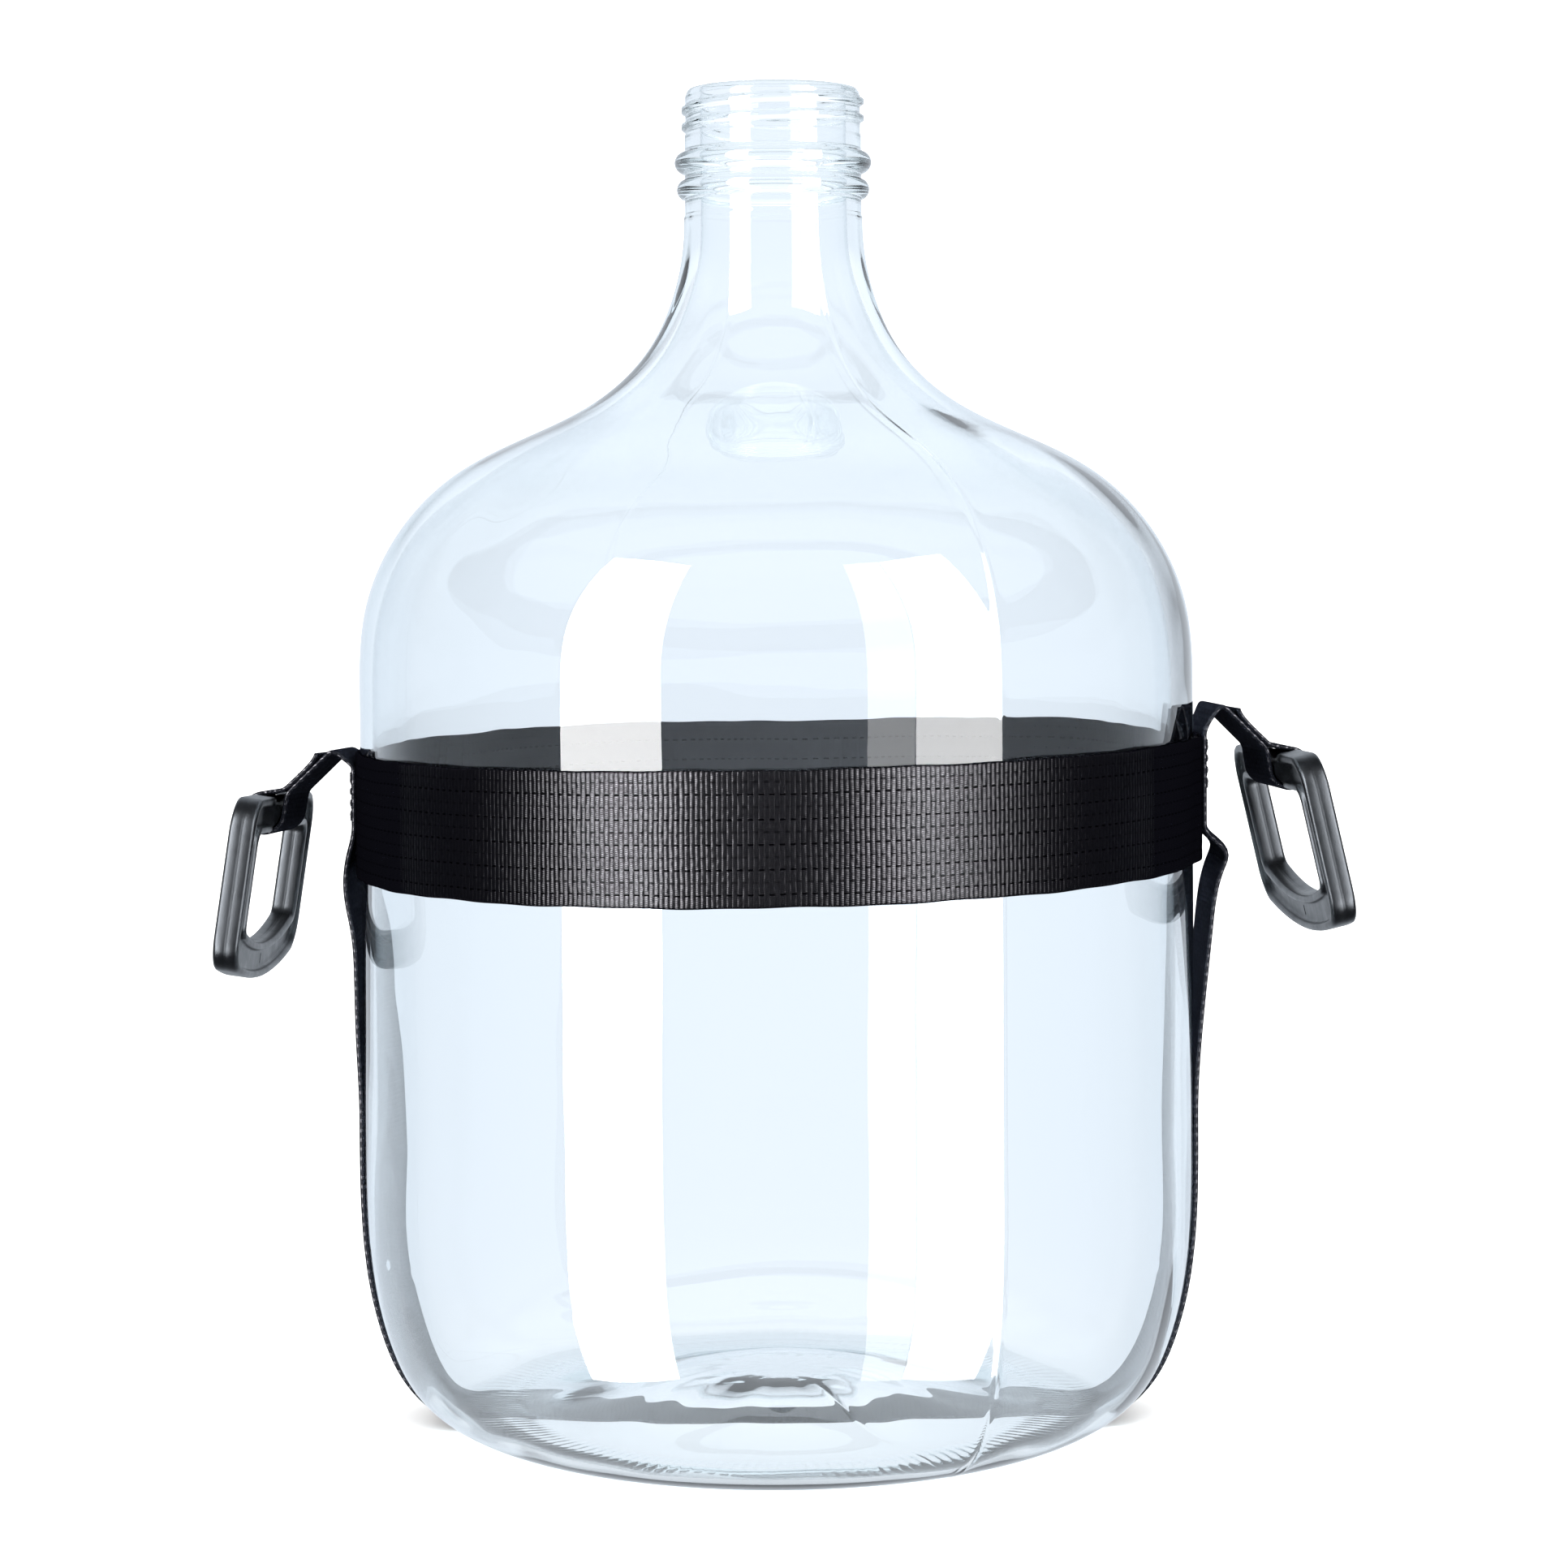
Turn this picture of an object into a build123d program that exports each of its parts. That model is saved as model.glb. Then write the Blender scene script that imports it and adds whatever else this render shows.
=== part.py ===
from build123d import *
import os
from math import asin, cos, degrees, radians, sin

# Glass carboy of about 15 litres in a carrying harness of woven webbing.
# Frame: origin on the standing surface under the middle of the base, +Z up,
# +X towards the right-hand handle, the bare glass front facing -Y.  Millimetres.

os.makedirs("parts", exist_ok=True)

# ---------------------------------------------------------------- dimensions
WEB_W = 40.0            # width of the webbing
WEB_T = 1.4             # thickness of the webbing
LAYER_GAP = 0.05        # air between two layers of webbing that are sewn together
GLASS_GAP = 0.15        # air between the webbing and the glass

BODY_R = 135.0          # outside radius of the bottle's straight body
BASE_Z = WEB_T          # the bottle stands on the webbing that passes under it
BOTTLE_H = 432.0        # height of the bottle alone
BEARING_R = 93.0        # outer edge of the ring that the glass stands on
BODY_LOW = 100.0        # height where the heel runs into the straight body
BODY_TOP = 240.0        # height where the shoulder starts
WALL = 4.8              # glass thickness in the body

NECK_R = 29.0           # neck under the beads
BORE_R = 23.5           # neck bore
BORE_LOW = 385.0        # height where the cylindrical bore starts
# Beads: height, crest radius, half height, and the radius at the lower and upper foot.
LOW_BEAD = (399.5, 31.3, 3.2, 28.7, 28.5)
TOP_BEAD = (408.2, 31.8, 3.5, 28.4, 28.7)
THREAD_ROOT_R = 28.4
THREAD_CREST_R = 29.65
THREAD_PITCH = 5.4
THREAD_TURNS = 1.9
THREAD_START = 418.6    # height of the thread's lower end
THREAD_START_ANGLE = 107.0
THREAD_SINK = 0.6       # how far the thread's section reaches into the neck
THREAD_BASE_HALF = 1.5  # half height of the thread's section at its base
THREAD_CREST_HALF = 0.5
THREAD_FADE = ((0, 0.15), (0.12, 1), (0.88, 1), (1, 0.15))   # place along it, share of its rise
FINISH_LOW = 417.5      # height where the threaded part of the neck starts
RIM = [(28.2, 430), (27.7, 431.4), (26.4, BOTTLE_H)]         # outer rounding of the rim
LIP = [(24.7, BOTTLE_H), (23.85, 431.6), (BORE_R, 430.8)]    # inner rounding of the rim
FLOOR_TOP = 18.5        # glass in the middle of the floor, upper and lower face
FLOOR_LOW = 12.0

BELT_Z = 200.5 + BASE_Z          # middle of the belt
BELT_TILT = 0.8                  # degrees, the +X side is the higher one
BELT_LAP_ANGLE = degrees(WEB_W / 2 / BODY_R)
BELT_RAMP_ANGLE = 5.0            # the belt climbs onto its own start over this angle
BELT_BLANK_H = 1.6 * WEB_W       # height of the ring that the tilted belt is cut from
SEAM_OVERLAP = 0.4               # degrees by which the belt's pieces reach into each other

HANDLE_W = 110.0        # along Y
HANDLE_H = 52.8         # from the top bar's outer face to the lower corners
GRIP_BOW = 6.8          # how far the grip bows below the corners
HANDLE_T = 8.1          # thickness of the ring
RING_W = 11.4           # width of the ring's section, in the plane of the ring
HANDLE_CORNER = 11.0
CORNER_LOSS = 0.55      # how fast the corners get tighter towards the inside
TIGHT_CORNER = 3.5
HANDLE_EDGE = 1.2       # rounding of the ring's edges
RIM_W = 2.2             # rims on both flat faces, round a sunk channel
CHANNEL_D = 2.4
CHANNEL_KEEP_OFF = 8.0  # solid part of the top bar at each end of the round bar
BAR_R = 5.2             # round bar inside the webbing loop
BAR_L = WEB_W + 1.6
BAR_ROOT = 2.0          # how far the round bar reaches into the ring at each end

LOOP_R = 6.35           # centre line of the webbing round the bar
TAB_REACH = 28.0        # from the fold in the webbing to the middle of the bar
LOOP_SPLAY = 36.0       # degrees by which the layers part before the bar
SPLAY_R = 5.0
FOLD_END = 2.4          # the fixed webbing stops this far before the fold
FOLD_START = 0.6        # and the tab starts this far after it
TOP_LAYER_START = 3.4

THREAD_W = 0.9          # width of a row of stitching
THREAD_H = 0.45         # how far a row stands proud of the webbing
BOX_W = WEB_W - 10      # stitched box on each crossing
BOX_H = 16.0
BOX_DROP = 9.5          # its middle lies this far under the place where the sling leaves the belt
TAB_ROWS_L = 7.4        # stitching through the tab, along the tab and across it
TAB_ROWS_W = WEB_W - 8
TAB_ROWS_MIDDLE = 5.2   # from the end of the tab's upper layer

# One record of numbers per side: +1 is the right-hand side, -1 the left.
# Places are (radius, height above the floor).  slack: centre line of the sling
# between the glass and the belt; landing and leaving: the heights between which
# it lies flat on the belt; fold: the line where the tab bends.  The fold line and
# all that hangs on it are turned by yaw, the front end outwards, and by roll,
# the front end upwards.  lean: how far the ring's grip stands out, in degrees.
SIDES = {
    "right": {
        "sign": 1,
        "belt_layers": 2,
        "slack": [(136.9, 124.0), (138.4, 140.0), (140.6, 161.0), (142.1, 172.8), (144.6, 181.5),
                  (145.7, 185.5)],
        "landing": 195.0,
        "leaving": 223.9,
        "fold": (143.4, 232.0),
        "tab_angle": -45.0,
        "yaw": 3.9,
        "roll": 1.1,
        "lean": 12.8,
    },
    "left": {
        "sign": -1,
        "belt_layers": 1,
        "slack": [(136.7, 127.0), (137.1, 147.0), (138.1, 162.6), (140.1, 174.5), (139.2, 186.4)],
        "landing": 196.0,
        "leaving": 214.9,
        "fold": (143.4, 218.8),
        "tab_angle": -43.9,
        "yaw": 1.9,
        "roll": 2.8,
        "lean": 8.2,
    },
}


# ------------------------------------------------------------------- helpers
def save(shape, name):
    shape.label = name
    export_step(shape, f"parts/{name}.step")


def revolved(edges):
    """Solid of revolution about Z from an outline of (radius, height)."""
    return revolve(make_face(Plane.XZ * Curve(edges)), Axis.Z)


def belt_radius(layers):
    """Outside radius of one or two layers of belt."""
    return BODY_R + GLASS_GAP + layers * WEB_T + (layers - 1) * LAYER_GAP


def crossing_radius(side):
    """Radius of the sling's centre line where it lies on the belt."""
    return belt_radius(side["belt_layers"]) + LAYER_GAP + WEB_T / 2


def strip(path):
    """Section through webbing of the normal thickness along a smooth path."""
    return trace(path, WEB_T)


# -------------------------------------------------------------------- bottle
HEEL = [(BEARING_R, 0), (108.5, 4), (119, 12), (127.6, 28), (133.4, 54), (BODY_R, BODY_LOW)]
SHOULDER = [(BODY_R, BODY_TOP), (133, 264), (122.8, 288), (103.2, 308), (80, 320),
            (56.8, 332), (40.7, 348), (33.1, 364), (NECK_R, 389)]
INNER_SHOULDER = [(BODY_R - WALL, BODY_TOP), (128.3, 262), (118.8, 285.2), (100.2, 304),
                  (78, 315.6), (54, 328), (36.8, 345.2), (28.4, 362.5), (BORE_R, BORE_LOW)]
INNER_HEEL = [(BODY_R - WALL, BODY_LOW), (128.2, 54), (121.8, 31.5), (111, 17.5), (90, 9.5)]
INNER_FLOOR = [(90, 9.5), (47, 13.5), (20, FLOOR_TOP)]
PUSH_UP = [(20, FLOOR_LOW), (47, 7), (86, 0)]


def raised(points):
    """Move points given above the bottle's base to heights above the floor."""
    return [(r, z + BASE_Z) for r, z in points]


def heel_edge():
    return Spline(*raised(HEEL), tangents=[(1, 0.12), (0, 1)])


def bead_edge(bead):
    z, crest, half, foot_low, foot_high = bead
    return ThreePointArc(*raised([(foot_low, z - half), (crest, z), (foot_high, z + half)]))


def bottle_outline():
    shoulder = Spline(*raised(SHOULDER), tangents=[(0, 1), (0, 1)])
    low_bead = bead_edge(LOW_BEAD)
    top_bead = bead_edge(TOP_BEAD)
    rim = ThreePointArc(*raised(RIM))
    lip = ThreePointArc(*raised(LIP))
    inner_shoulder = Spline(*raised(INNER_SHOULDER[::-1]), tangents=[(0, -1), (0, -1)])
    inner_heel = Spline(*raised(INNER_HEEL), tangents=[(0, -1), (-1, 0)])
    inner_floor = Spline(*raised(INNER_FLOOR), tangents=[(-1, 0), (-1, 0)])
    push_up = Spline(*raised(PUSH_UP), tangents=[(1, 0), (1, 0)])
    centre_top = (0, FLOOR_TOP + BASE_Z)
    centre_low = (0, FLOOR_LOW + BASE_Z)
    smooth = [heel_edge(), Line(*raised([HEEL[-1], SHOULDER[0]])), shoulder]
    neck = [
        Line(shoulder @ 1, low_bead @ 0),
        low_bead,
        Line(low_bead @ 1, top_bead @ 0),
        top_bead,
        Line(top_bead @ 1, raised([(THREAD_ROOT_R, FINISH_LOW)])[0]),
        Line(*raised([(THREAD_ROOT_R, FINISH_LOW), RIM[0]])),
        rim,
        Line(rim @ 1, lip @ 0),
        lip,
        Line(lip @ 1, inner_shoulder @ 0),
    ]
    inside = [
        inner_shoulder,
        Line(inner_shoulder @ 1, inner_heel @ 0),
        inner_heel,
        inner_floor,
        Line(inner_floor @ 1, centre_top),
        Line(centre_top, centre_low),
        Line(centre_low, push_up @ 0),
        push_up,
        Line(push_up @ 1, smooth[0] @ 0),
    ]
    return smooth + neck + inside


def neck_thread():
    """One raised screw thread that fades out at both ends."""
    turn = THREAD_PITCH * THREAD_TURNS
    helix = Helix(THREAD_PITCH, turn, THREAD_ROOT_R - THREAD_SINK)
    base, crest = THREAD_BASE_HALF, THREAD_CREST_HALF
    sections = []
    for place, rise in THREAD_FADE:
        height = THREAD_SINK + (THREAD_CREST_R - THREAD_ROOT_R) * rise
        at = Plane(origin=helix @ place, x_dir=Vector((helix @ place).X, (helix @ place).Y, 0),
                   z_dir=helix % place)
        outline = Polyline((0, -base), (height, -crest), (height, crest), (0, base), close=True)
        sections.append(at * make_face(outline))
    ridge = sweep(sections, path=helix, multisection=True, is_frenet=True)
    return Pos(0, 0, THREAD_START + BASE_Z) * Rot(0, 0, THREAD_START_ANGLE) * ridge


def make_bottle():
    return revolved(bottle_outline()) + neck_thread()


# ------------------------------------------------------------------- harness
def polar(radius, angle):
    return (radius * cos(radians(angle)), radius * sin(radians(angle)))


def arc_band(r_in, r_out, start, end):
    """Flat sector between two radii and two angles."""
    mid = (start + end) / 2
    outer = ThreePointArc(polar(r_out, start), polar(r_out, mid), polar(r_out, end))
    inner = ThreePointArc(polar(r_in, end), polar(r_in, mid), polar(r_in, start))
    return make_face([outer, Line(outer @ 1, inner @ 0), inner, Line(inner @ 1, outer @ 0)])


def make_belt():
    """Belt round the body, its end lapped over its start on the right."""
    r_in = BODY_R + GLASS_GAP
    step = WEB_T + LAYER_GAP
    lap_start = -BELT_LAP_ANGLE
    lap_end = BELT_LAP_ANGLE
    ramp_start = lap_start - BELT_RAMP_ANGLE
    half_way = lap_start + 180
    ring = arc_band(r_in, r_in + WEB_T, lap_start, half_way + SEAM_OVERLAP)
    ring += arc_band(r_in, r_in + WEB_T, half_way, ramp_start + 360)
    lap = arc_band(r_in + step, r_in + step + WEB_T, lap_start - SEAM_OVERLAP, lap_end)
    foot = ramp_start - SEAM_OVERLAP
    low = Spline(polar(r_in, foot), polar(r_in + step, lap_start))
    high = Spline(polar(r_in + step + WEB_T, lap_start), polar(r_in + WEB_T, foot))
    ramp = make_face([low, Line(low @ 1, high @ 0), high, Line(high @ 1, low @ 0)])
    tall = extrude(ring + ramp + lap, BELT_BLANK_H)
    slab = Rot(0, -BELT_TILT, 0) * Box(3 * BODY_R, 3 * BODY_R, WEB_W)
    return Pos(0, 0, BELT_Z) * (Pos(0, 0, -BELT_BLANK_H / 2) * tall & slab)


def heel_offset(distance, count=9):
    """Points at a steady distance outside the glass, from ring to body."""
    edge = heel_edge()
    points = []
    for i in range(1, count):
        tangent = edge % (i / count)
        points.append(edge @ (i / count) + Vector(tangent.Y, -tangent.X) * distance)
    return [(p.X, p.Y) for p in points]


def sling_path(side):
    """Centre line of the sling in (radius, height), from the middle of the
    base, round the heel, over the belt and into the fold above it."""
    off = GLASS_GAP + WEB_T / 2
    landing = (crossing_radius(side), side["landing"])
    leaving = (crossing_radius(side), side["leaving"])
    foot = (BEARING_R - 1, WEB_T / 2)
    flat = Line((0, WEB_T / 2), foot)
    side_low = (BODY_R + off, BODY_LOW + BASE_Z)
    heel = Spline(foot, *heel_offset(off), side_low, tangents=[(1, 0), (0, 1)])
    slack = Spline(side_low, *side["slack"], landing, tangents=[(0, 1), (0, 1)])
    over = Line(landing, leaving)
    return [flat, heel, slack, over]


def fold_edge(side):
    """Bend above the belt, from upright to the slope of the tab."""
    slope = radians(side["tab_angle"])
    fold_r, fold_z = side["fold"]
    end = (fold_r - FOLD_END * cos(slope), fold_z - FOLD_END * sin(slope))
    start = (crossing_radius(side), side["leaving"])
    return Spline(start, end, tangents=[(0, 1), (cos(slope), sin(slope))],
                  tangent_scalars=[1.1, 0.9])


def make_sling():
    """One length of webbing under the base and up both sides, 40 mm wide
    and curved across its width where it lies on the body."""
    sling = None
    for side in SIDES.values():
        section = Sketch() + [strip(edge) for edge in sling_path(side)]
        keep = Pos(side["sign"] * BODY_R, 0, 0) * Box(2 * BODY_R, WEB_W, 2 * BOTTLE_H)
        half = revolve(Plane.XZ * section, Axis.Z) & keep
        bend = extrude(Plane.XZ * mirrored(side, strip(fold_edge(side))), WEB_W / 2, both=True)
        sling = half + bend if sling is None else sling + half + bend
    return sling


def mirrored(side, sketch):
    return sketch if side["sign"] > 0 else mirror(sketch, Plane.YZ)


def tab_section():
    """Tab in its own plane: the fold at the origin, the bar along +X."""
    splay = LOOP_SPLAY
    mid = (WEB_T + LAYER_GAP) / 2
    drop = SPLAY_R * (1 - cos(radians(splay)))
    run = (LOOP_R * cos(radians(splay)) - mid - drop) / sin(radians(splay))
    split = TAB_REACH - (SPLAY_R + LOOP_R) * sin(radians(splay)) - run * cos(radians(splay))
    low = Line((FOLD_START, 0), (split, 0))
    low_bend = JernArc(low @ 1, (1, 0), SPLAY_R, -splay)
    low_run = PolarLine(low_bend @ 1, run, -splay)
    loop = JernArc(low_run @ 1, low_run % 1, LOOP_R, 180 + 2 * splay)
    top_run = PolarLine(loop @ 1, run, 180 + splay)
    top_bend = JernArc(top_run @ 1, top_run % 1, SPLAY_R, -splay)
    top = Line(top_bend @ 1, (TOP_LAYER_START, 2 * mid))
    path = [low, low_bend, low_run, loop, top_run, top_bend, top]
    return Sketch() + [strip(edge) for edge in path]


def tab_place(side):
    """Location of the fold, turned to the slope of the tab."""
    return Pos(*side["fold"]) * Rot(0, 0, side["tab_angle"])


def hung(shape, side):
    """Turn a piece that was made with the fold along Y by the side's yaw and roll."""
    sign = side["sign"]
    fold_r, fold_z = side["fold"]
    middle = Pos(sign * fold_r, 0, fold_z)
    turn = Rot(0, 0, sign * side["yaw"]) * Rot(-side["roll"], 0, 0)
    return middle * turn * middle.inverse() * shape


def bar_centre(side):
    """Middle of the bar in (x, z) before the yaw and roll."""
    mid = (WEB_T + LAYER_GAP) / 2
    at = tab_place(side) * Pos(TAB_REACH, mid)
    return (side["sign"] * at.position.X, at.position.Y)


def make_tab(side):
    section = mirrored(side, tab_place(side) * tab_section())
    return hung(extrude(Plane.XZ * section, WEB_W / 2, both=True), side)


# ------------------------------------------------------------------- handles
def ring_outline(inset):
    """Outline of the ring in (along the bar, height), the bar's middle at 0,0."""
    half = HANDLE_W / 2 - inset
    top = RING_W / 2 - inset
    corner = top - (HANDLE_H - 2 * inset)
    lowest = RING_W / 2 - HANDLE_H - GRIP_BOW + inset
    radius = max(HANDLE_CORNER - inset * CORNER_LOSS, TIGHT_CORNER)
    sides = Polyline((-half, corner), (-half, top), (half, top), (half, corner))
    grip = ThreePointArc((half, corner), (0, lowest), (-half, corner))
    face = make_face([sides, grip])
    return fillet(face.vertices(), radius)


def make_handle():
    """Moulded ring: a channelled section, and a plain round bar for the loop."""
    ring = extrude(ring_outline(0) - ring_outline(RING_W), HANDLE_T / 2, both=True)
    rims = ring.edges().filter_by(lambda e: abs(abs(e.center().Z) - HANDLE_T / 2) < 0.01)
    ring = fillet(rims, HANDLE_EDGE)
    channel = ring_outline(RIM_W) - ring_outline(RING_W - RIM_W)
    keep_off = Rectangle(BAR_L + 2 * CHANNEL_KEEP_OFF, RING_W)
    cut = extrude(channel - keep_off, CHANNEL_D)
    ring -= Pos(0, 0, HANDLE_T / 2 - CHANNEL_D) * cut
    ring -= Pos(0, 0, -HANDLE_T / 2) * cut
    ring -= Box(BAR_L, 1.2 * RING_W, 1.2 * HANDLE_T)
    ring += Rot(0, 90, 0) * Cylinder(BAR_R, BAR_L + 2 * BAR_ROOT)
    return ring


def place_handle(handle, side):
    """Stand the ring up along Y, lean its grip outwards and hang it in its loop."""
    x, z = bar_centre(side)
    upright = Plane(origin=(0, 0, 0), x_dir=(0, 1, 0), z_dir=(1, 0, 0)) * handle
    return hung(Pos(x, 0, z) * Rot(0, -side["sign"] * side["lean"], 0) * upright, side)


# ----------------------------------------------------------------- stitching
def box_and_cross(width, height):
    """Rows of stitching that form a box with a cross in it, as a flat sketch."""
    frame = Rectangle(width, height) - Rectangle(width - 2 * THREAD_W, height - 2 * THREAD_W)
    diagonal = (width**2 + height**2) ** 0.5 - 3 * THREAD_W
    slope = degrees(asin(height / (width**2 + height**2) ** 0.5))
    rows = frame
    for angle in (slope, -slope):
        rows += Rot(0, 0, angle) * Rectangle(diagonal, THREAD_W)
    return rows


def crossing_stitch(side):
    """Box and cross through the sling and the belt, on the sling's outer face."""
    r_face = crossing_radius(side) + WEB_T / 2
    centre_z = side["leaving"] - BOX_DROP
    turned = Rot(0, side["sign"] * 90, 0) * Rot(0, 0, 90)
    rows = Pos(0, 0, centre_z) * turned * extrude(box_and_cross(BOX_W, BOX_H), 2 * BODY_R)
    skin = Cylinder(r_face + THREAD_H, 2 * BOX_H) - Cylinder(r_face, 2 * BOX_H)
    return rows & (Pos(0, 0, centre_z) * skin)


def tab_stitch(side):
    """Three rows across the doubled webbing, tied by a row at each end."""
    face_y = 1.5 * WEB_T + LAYER_GAP
    gap = (TAB_ROWS_L - 3 * THREAD_W) / 2
    rows = Rectangle(TAB_ROWS_L, TAB_ROWS_W)
    for side_step in (-1, 1):
        hole = Rectangle(gap, TAB_ROWS_W - 2 * THREAD_W)
        rows -= Pos(side_step * (gap + THREAD_W) / 2, 0) * hole
    pad = extrude(rows, THREAD_H)
    pad = Pos(TOP_LAYER_START + TAB_ROWS_MIDDLE, 0, face_y) * pad
    pad = Rot(0, -side["tab_angle"], 0) * pad
    fold_r, fold_z = side["fold"]
    pad = Pos(fold_r, 0, fold_z) * pad
    return hung(pad if side["sign"] > 0 else mirror(pad, Plane.YZ), side)


# --------------------------------------------------------------------- build
save(make_bottle(), "glass_bottle")
save(make_belt(), "belt")
save(make_sling(), "sling_strap")
ring_handle = make_handle()
for side_name, numbers in SIDES.items():
    save(make_tab(numbers), f"{side_name}_tab")
    save(place_handle(ring_handle, numbers), f"{side_name}_handle")
    save(crossing_stitch(numbers), f"{side_name}_crossing_stitch")
    save(tab_stitch(numbers), f"{side_name}_tab_stitch")
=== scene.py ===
from math import atan2, cos, degrees, pi, radians, sin, sqrt

import bpy
import numpy as np
from mathutils import Matrix, Vector


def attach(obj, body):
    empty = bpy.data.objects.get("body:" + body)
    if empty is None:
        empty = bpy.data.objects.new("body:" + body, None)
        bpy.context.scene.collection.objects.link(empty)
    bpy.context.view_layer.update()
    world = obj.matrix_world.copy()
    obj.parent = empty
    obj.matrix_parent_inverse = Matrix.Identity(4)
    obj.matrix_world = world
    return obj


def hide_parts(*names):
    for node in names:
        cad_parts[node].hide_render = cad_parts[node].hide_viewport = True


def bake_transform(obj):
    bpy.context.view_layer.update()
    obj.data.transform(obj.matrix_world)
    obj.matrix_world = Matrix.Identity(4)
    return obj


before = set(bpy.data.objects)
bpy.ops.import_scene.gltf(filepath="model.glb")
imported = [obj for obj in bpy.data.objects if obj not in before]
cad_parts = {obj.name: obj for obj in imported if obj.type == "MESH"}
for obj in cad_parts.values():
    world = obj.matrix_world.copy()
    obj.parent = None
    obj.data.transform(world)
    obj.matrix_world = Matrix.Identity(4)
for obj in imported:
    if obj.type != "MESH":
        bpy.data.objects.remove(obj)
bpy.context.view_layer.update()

# Lengths here are millimetres in the CAD frame; meshes are made in metres.
MM = 0.001
WEB_W, WEB_T = 40.0, 1.4                 # width and thickness of the webbing
LAYER_GAP, GLASS_GAP = 0.05, 0.15        # between two layers of webbing, and under the first
BODY_R = 135.0
BASE_Z = WEB_T                           # the bottle stands on the webbing that passes under it
BODY_LOW, BODY_TOP = 100.0, 240.0        # the straight part of the body
BEARING_R = 93.0                         # outer edge of the ring that the bottle stands on
WALL = 4.8
NECK_R, BORE_R = 29.0, 23.5
BOTTLE_H = 432.0
SEAM_ANGLES = (-60.6, 119.4)             # where the two halves of the mould meet
BELT_Z, BELT_TILT = 200.5 + BASE_Z, 0.8  # the belt's middle, and its rise to the right in degrees
LAP_HALF = degrees(WEB_W / 2 / BODY_R)   # the belt's lap is as long as the webbing is wide

# Places are (radius, height above the floor), as in the CAD part.  slack: the
# sling between the glass and the belt; landing, leaving: where it lies flat on
# the belt; yaw and roll turn the fold and all that hangs on it, front end
# outwards and upwards; lean: how far the grip stands out.
SIDES = {
    "right": {"sign": 1, "layers": 2, "landing": 195.0, "leaving": 223.9,
              "slack": [(136.9, 124.0), (138.4, 140.0), (140.6, 161.0), (142.1, 172.8),
                        (144.6, 181.5), (145.7, 185.5)],
              "fold": (143.4, 232.0), "tab_angle": -45.0, "yaw": 3.9, "roll": 1.1, "lean": 12.8},
    "left": {"sign": -1, "layers": 1, "landing": 196.0, "leaving": 214.9,
             "slack": [(136.7, 127.0), (137.1, 147.0), (138.1, 162.6), (140.1, 174.5),
                       (139.2, 186.4)],
             "fold": (143.4, 218.8), "tab_angle": -43.9, "yaw": 1.9, "roll": 2.8, "lean": 8.2},
}


# ---------------------------------------------------------------- small tools
def smooth_curve(points, start_dir, end_dir, step):
    """Cubic spline through points with fixed end directions, sampled evenly."""
    p = np.array(points, float)
    t = np.concatenate([[0], np.cumsum(np.linalg.norm(np.diff(p, axis=0), axis=1))])
    h = np.diff(t)
    n = len(p)
    a = np.zeros((n, n))
    b = np.zeros((n, p.shape[1]))
    a[0, 0] = a[-1, -1] = 1
    b[0] = np.array(start_dir, float) / np.linalg.norm(start_dir)
    b[-1] = np.array(end_dir, float) / np.linalg.norm(end_dir)
    for i in range(1, n - 1):
        a[i, i - 1] = h[i]
        a[i, i] = 2 * (h[i - 1] + h[i])
        a[i, i + 1] = h[i - 1]
        b[i] = 3 * (h[i] * (p[i] - p[i - 1]) / h[i - 1] + h[i - 1] * (p[i + 1] - p[i]) / h[i])
    m = np.linalg.solve(a, b)
    count = max(int(round(t[-1] / step)), 2)
    out = []
    for s in np.linspace(0, t[-1], count + 1):
        k = min(int(np.searchsorted(t, s, side="right")) - 1, n - 2)
        x = (s - t[k]) / h[k]
        out.append((2 * x**3 - 3 * x**2 + 1) * p[k] + (x**3 - 2 * x**2 + x) * h[k] * m[k]
                   + (-2 * x**3 + 3 * x**2) * p[k + 1] + (x**3 - x**2) * h[k] * m[k + 1])
    return np.array(out)


def straight(start, end, step):
    count = max(int(round(np.hypot(end[0] - start[0], end[1] - start[1]) / step)), 1)
    return np.linspace(start, end, count + 1)


def arc(centre, radius, start, end, count):
    angles = np.radians(np.linspace(start, end, count + 1))
    return np.stack([centre[0] + radius * np.cos(angles), centre[1] + radius * np.sin(angles)], 1)


def joined(*runs):
    """Runs end to end, without the doubled points."""
    out = [runs[0]]
    for run in runs[1:]:
        skip = 1 if np.linalg.norm(np.array(run[0]) - out[-1][-1]) < 1e-6 else 0
        out.append(run[skip:])
    return np.concatenate(out)


def object_from(name, verts, faces, material, body, uvs=None):
    """A smooth mesh object from millimetre points in the CAD frame.  It rides
    on the body, unless body is None."""
    mesh = bpy.data.meshes.new(name)
    mesh.from_pydata([tuple(v) for v in np.asarray(verts) * MM], [], [list(f) for f in faces])
    mesh.validate()
    if uvs is not None:
        layer = mesh.uv_layers.new(name="UVMap")
        layer.data.foreach_set("uv", np.asarray(uvs, float).ravel())
    mesh.polygons.foreach_set("use_smooth", [True] * len(mesh.polygons))
    mesh.materials.append(material)
    mesh.update()
    piece = bpy.data.objects.new(name, mesh)
    bpy.context.scene.collection.objects.link(piece)
    if body:
        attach(piece, body)
    return piece


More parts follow.
